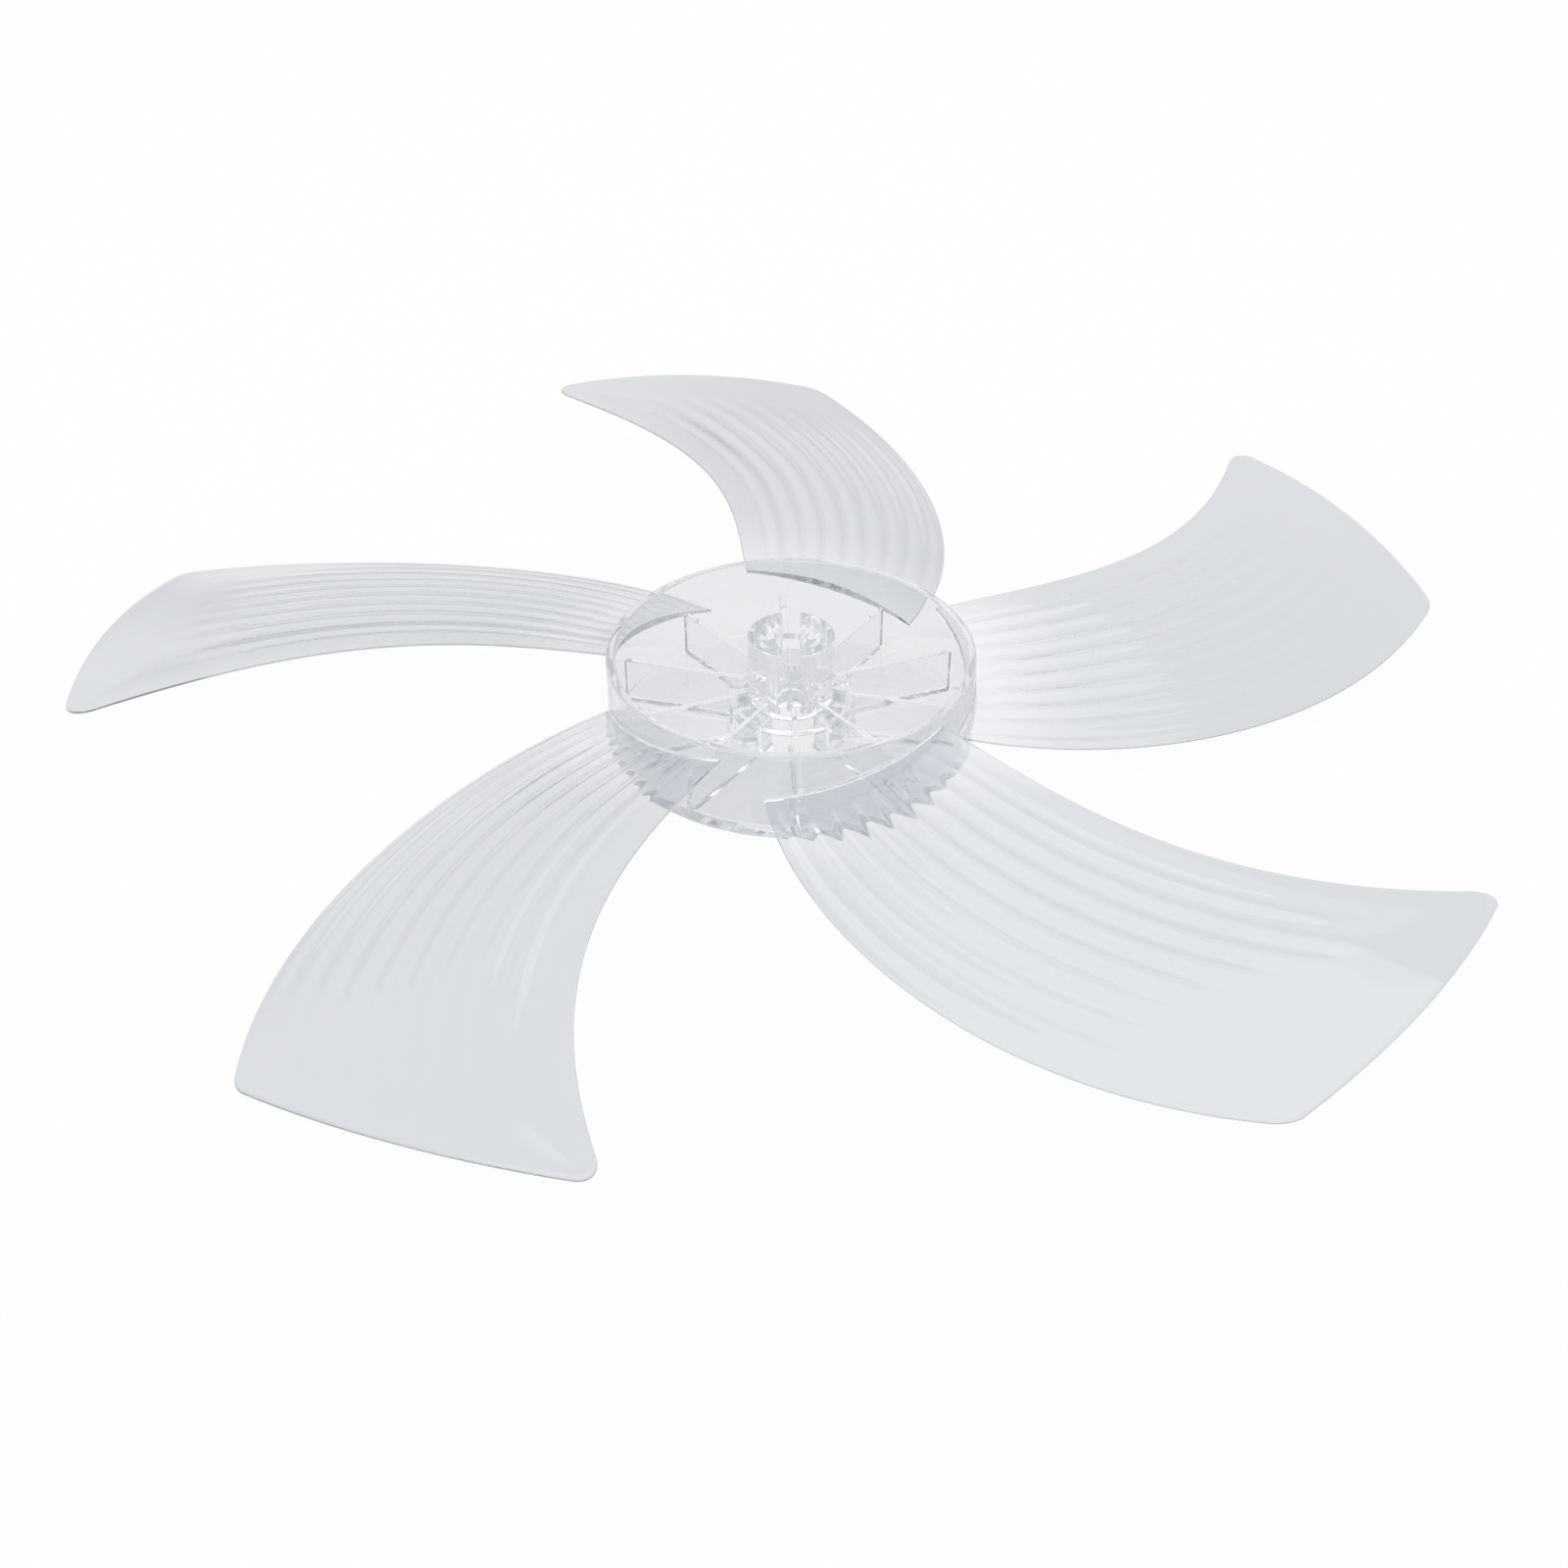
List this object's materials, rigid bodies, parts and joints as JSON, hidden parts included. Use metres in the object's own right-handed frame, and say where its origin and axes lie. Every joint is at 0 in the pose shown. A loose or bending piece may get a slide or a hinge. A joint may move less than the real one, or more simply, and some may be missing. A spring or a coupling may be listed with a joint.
{
  "type": "fan blade",
  "caption": "Clear moulded fan impeller: swept, rippled blades around a ribbed hub cup with a slotted central shaft boss.",
  "frame": {"origin": "centre of the shaft bore where it meets the roof of the nut well", "axes": "+Z along the shaft bore, from the closed hub face towards the open, ribbed side of the hub; +X and +Y across the blades, with +Y away from the viewer of the picture"},
  "size_m": [0.3741, 0.3755, 0.0311],
  "materials": {
    "clear_plastic": "clear, smooth moulded gloss with a faint grey-blue tint"
  },
  "bodies": {
    "root": {"fan_blade": "clear_plastic"}
  },
  "joints": []
}
